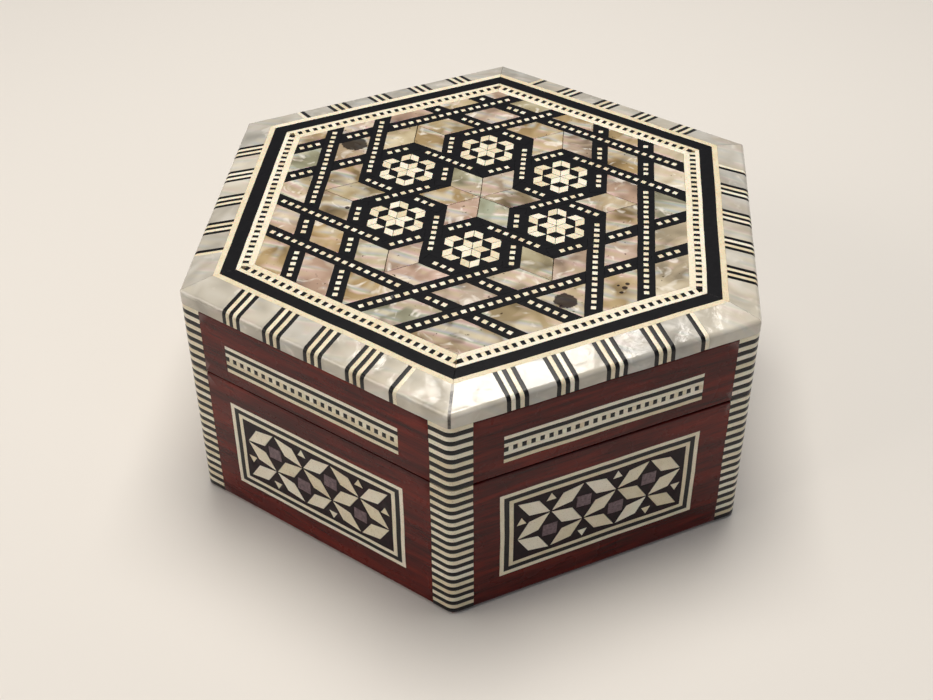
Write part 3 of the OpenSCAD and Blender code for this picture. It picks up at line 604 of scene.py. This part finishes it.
def velvet_pad(node, facing, material):
    """A thin pad under velvet: each piece of the CAD node crowned, its edges rolled down to the card."""
    bm = open_cad_mesh(node)
    pads = []
    for piece in pieces_of(bm):
        middle = sum((v.co for v in piece), Vector()) / len(piece)
        shown = facing or -side_directions(middle)[0]
        rims = {f for v in piece for f in v.link_faces if abs(f.normal.dot(shown)) < 0.5}
        planes = [(f.calc_center_median(), f.normal.copy()) for f in rims]
        pads.append((middle, shown, planes))
    cut_long_edges(bm, PAD_EDGE)
    for piece, (middle, shown, planes) in zip(pieces_of(bm), pads):
        for vert in piece:
            if (vert.co - middle).dot(shown) <= 0:
                continue
            inside = min((centre - vert.co).dot(normal) for centre, normal in planes)
            wave = PAD_WAVE * (1 + noise.noise(vert.co / PAD_WAVE_LENGTH))
            vert.co -= shown * (PAD_ROLL * (1 - smooth(inside / PAD_ROLL_W)) + wave)
    pad = close_mesh(bm, "pad_" + node, node, material)


def corner_filler(material):
    """Strip of horn let into the edging's mitre at the front corner."""
    corner = Vector((-math.sin(math.pi / 6), -math.cos(math.pi / 6), 0))
    across = Vector((-corner.y, corner.x, 0))
    edging = open_cad_mesh("edging_pearl")
    ends = [f for f in edging.faces if abs(f.normal.dot(across)) > 0.999
            and f.calc_center_median().dot(corner) > EDGING_IN]
    end = max(ends, key=lambda f: f.calc_area())
    middle = end.calc_center_median()
    outline = [middle + (v.co - middle) * FILLER_SWELL for v in end.verts]
    outline = [p - across * p.dot(across) for p in outline]
    edging.free()
    bm = bmesh.new()
    rows = [[bm.verts.new(p + across * FILLER_W * side / 2) for p in outline] for side in (-1, 1)]
    for row in rows:
        bm.faces.new(row)
    for i in range(len(outline)):
        bm.faces.new([rows[0][i - 1], rows[0][i], rows[1][i], rows[1][i - 1]])
    bmesh.ops.recalc_face_normals(bm, faces=bm.faces)
    mesh = bpy.data.meshes.new("corner_filler")
    bm.to_mesh(mesh)
    bm.free()
    mesh.materials.append(material)
    strip = bpy.data.objects.new("corner_filler", mesh)
    scene.collection.objects.link(strip)
    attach(strip, "lid")


# ---- The box ----

make_camera()
middle = Vector((0, 0, 30)) * MM
make_softbox("key_softbox", middle, 150, 80, 0.7, (0.4, 0.4), 5.2, "#fffaf3")
make_softbox("left_softbox", middle, -95, 30, 0.8, (0.5, 0.4), 1.8, "#fff4e8")
make_softbox("front_fill", middle, 10, 25, 0.9, (0.5, 0.5), 0.5, "#eef2ff")
world = bpy.data.worlds.new("studio")
world.use_nodes = True
world.node_tree.nodes["Background"].inputs["Color"].default_value = linear("#e9ecf2")
world.node_tree.nodes["Background"].inputs["Strength"].default_value = 0.18
scene.world = world
scene.view_settings.view_transform = "Standard"

floor_mesh = bpy.data.meshes.new("floor")
floor_corners = [(x * FLOOR_HALF, y * FLOOR_HALF, 0) for x, y in [(-1, -1), (1, -1), (1, 1), (-1, 1)]]
floor_mesh.from_pydata(floor_corners, [], [(0, 1, 2, 3)])
floor_mesh.materials.append(matt_paper())
floor = bpy.data.objects.new("floor", floor_mesh)
scene.collection.objects.link(floor)

mahogany = varnished_mahogany()
bone = polished_bone()
ebony = polished_ebony()
rosewood_bits = rosewood()
ground = dark_ground()
pile = velvet()
brass = aged_brass()
plywood = raw_plywood()
edging_shell = mother_of_pearl(
    "pearl_edging", [(0.0, "#b9b8b2"), (0.3, "#c6c2b9"), (0.6, "#cfcabe"), (1.0, "#d8d2c4")],
    [(0.3, "#c4c1bb"), (0.5, "#e6e3dd"), (0.7, "#ffffff")], 0.25, 0.2, 0.0)
field_shell = mother_of_pearl(
    "pearl_tiles", [(0.0, "#8c8c82"), (0.18, "#b39b72"), (0.36, "#c7b48e"), (0.54, "#a3ab98"),
                    (0.72, "#cdb2a4"), (0.86, "#cfc2a2"), (1.0, "#dcd3be")],
    [(0.32, "#8b857b"), (0.5, "#cfc8bc"), (0.68, "#ffffff")], 0.6, 0.33, 320.0,
    stains=[(0.9, -39.1, 2.3), (-15.5, 37.2, 2.8), (13.9, -40.3, 0.6), (12.5, -41.4, 0.4),
            (15.1, -39.3, 0.45), (13.1, -39.0, 0.3), (-27, 12, 0.5)])

for turns, side in enumerate(SIDES):
    wall("body_wall_" + side, turns, mahogany)
    wall("lid_wall_" + side, turns, mahogany)

for node in ["body_corner_bone", "lid_corner_bone", "panel_bone_lines", "panel_bone_triangles",
             "lid_strip_bone_lines", "edging_bone_stripes", "top_outer_bone_line", "top_middle_bone_line",
             "top_inner_bone_line"]:
    laid_work(node, bone)
for node in ["body_corner_ebony", "lid_corner_ebony", "panel_ebony_lines", "lid_strip_ebony_lines",
             "edging_ebony_stripes", "top_ebony_band"]:
    laid_work(node, ebony, edge=0.05)
for node in ["lid_strip_bone_squares", "top_bone_squares"]:
    laid_work(node, bone, edge=0.04)
for node in ["lid_strip_ebony_squares", "top_ebony_squares"]:
    laid_work(node, ebony, edge=0.04, shrink=0.06, turn=3)
laid_work("field_dotted_strips", ebony, edge=0.0)
laid_work("field_bone_dots", bone, edge=0.06, shrink=0.08, turn=5)
laid_work("rosette_ground", ebony, edge=0.0)
laid_work("rosette_bone_lozenges", bone, edge=0.06, shrink=0.03, turn=1)
laid_work("rosette_ebony_lozenges", ebony, edge=0.06)
laid_work("panel_ground", ground, edge=0.0)
laid_work("panel_bone_lozenges", bone, edge=0.06, shrink=0.05, turn=1)
laid_work("panel_rosewood_bits", rosewood_bits, edge=0.06, shrink=0.1, turn=4)
laid_work("field_pearl_tiles", field_shell, edge=0.08, shrink=0.01, tilt=0.35)
laid_work("edging_pearl", edging_shell, edge=0.12)

up = Vector((0, 0, 1))
velvet_pad("body_velvet_floor", up, pile)
velvet_pad("lid_velvet_top", -up, pile)
velvet_pad("body_velvet_walls", None, pile)
velvet_pad("lid_velvet_walls", None, pile)
corner_filler(grey_horn())

for node, material in [("base_felt", felt()), ("base_board", plywood), ("lid_board", plywood),
                       ("hinge_lower_leaves", brass), ("hinge_upper_leaves", brass),
                       ("hinge_lower_screws", brass), ("hinge_upper_screws", brass),
                       ("hinge_pins", brass)]:
    mesh = frame["nodes"][node].data
    mesh.materials.clear()
    mesh.materials.append(material)
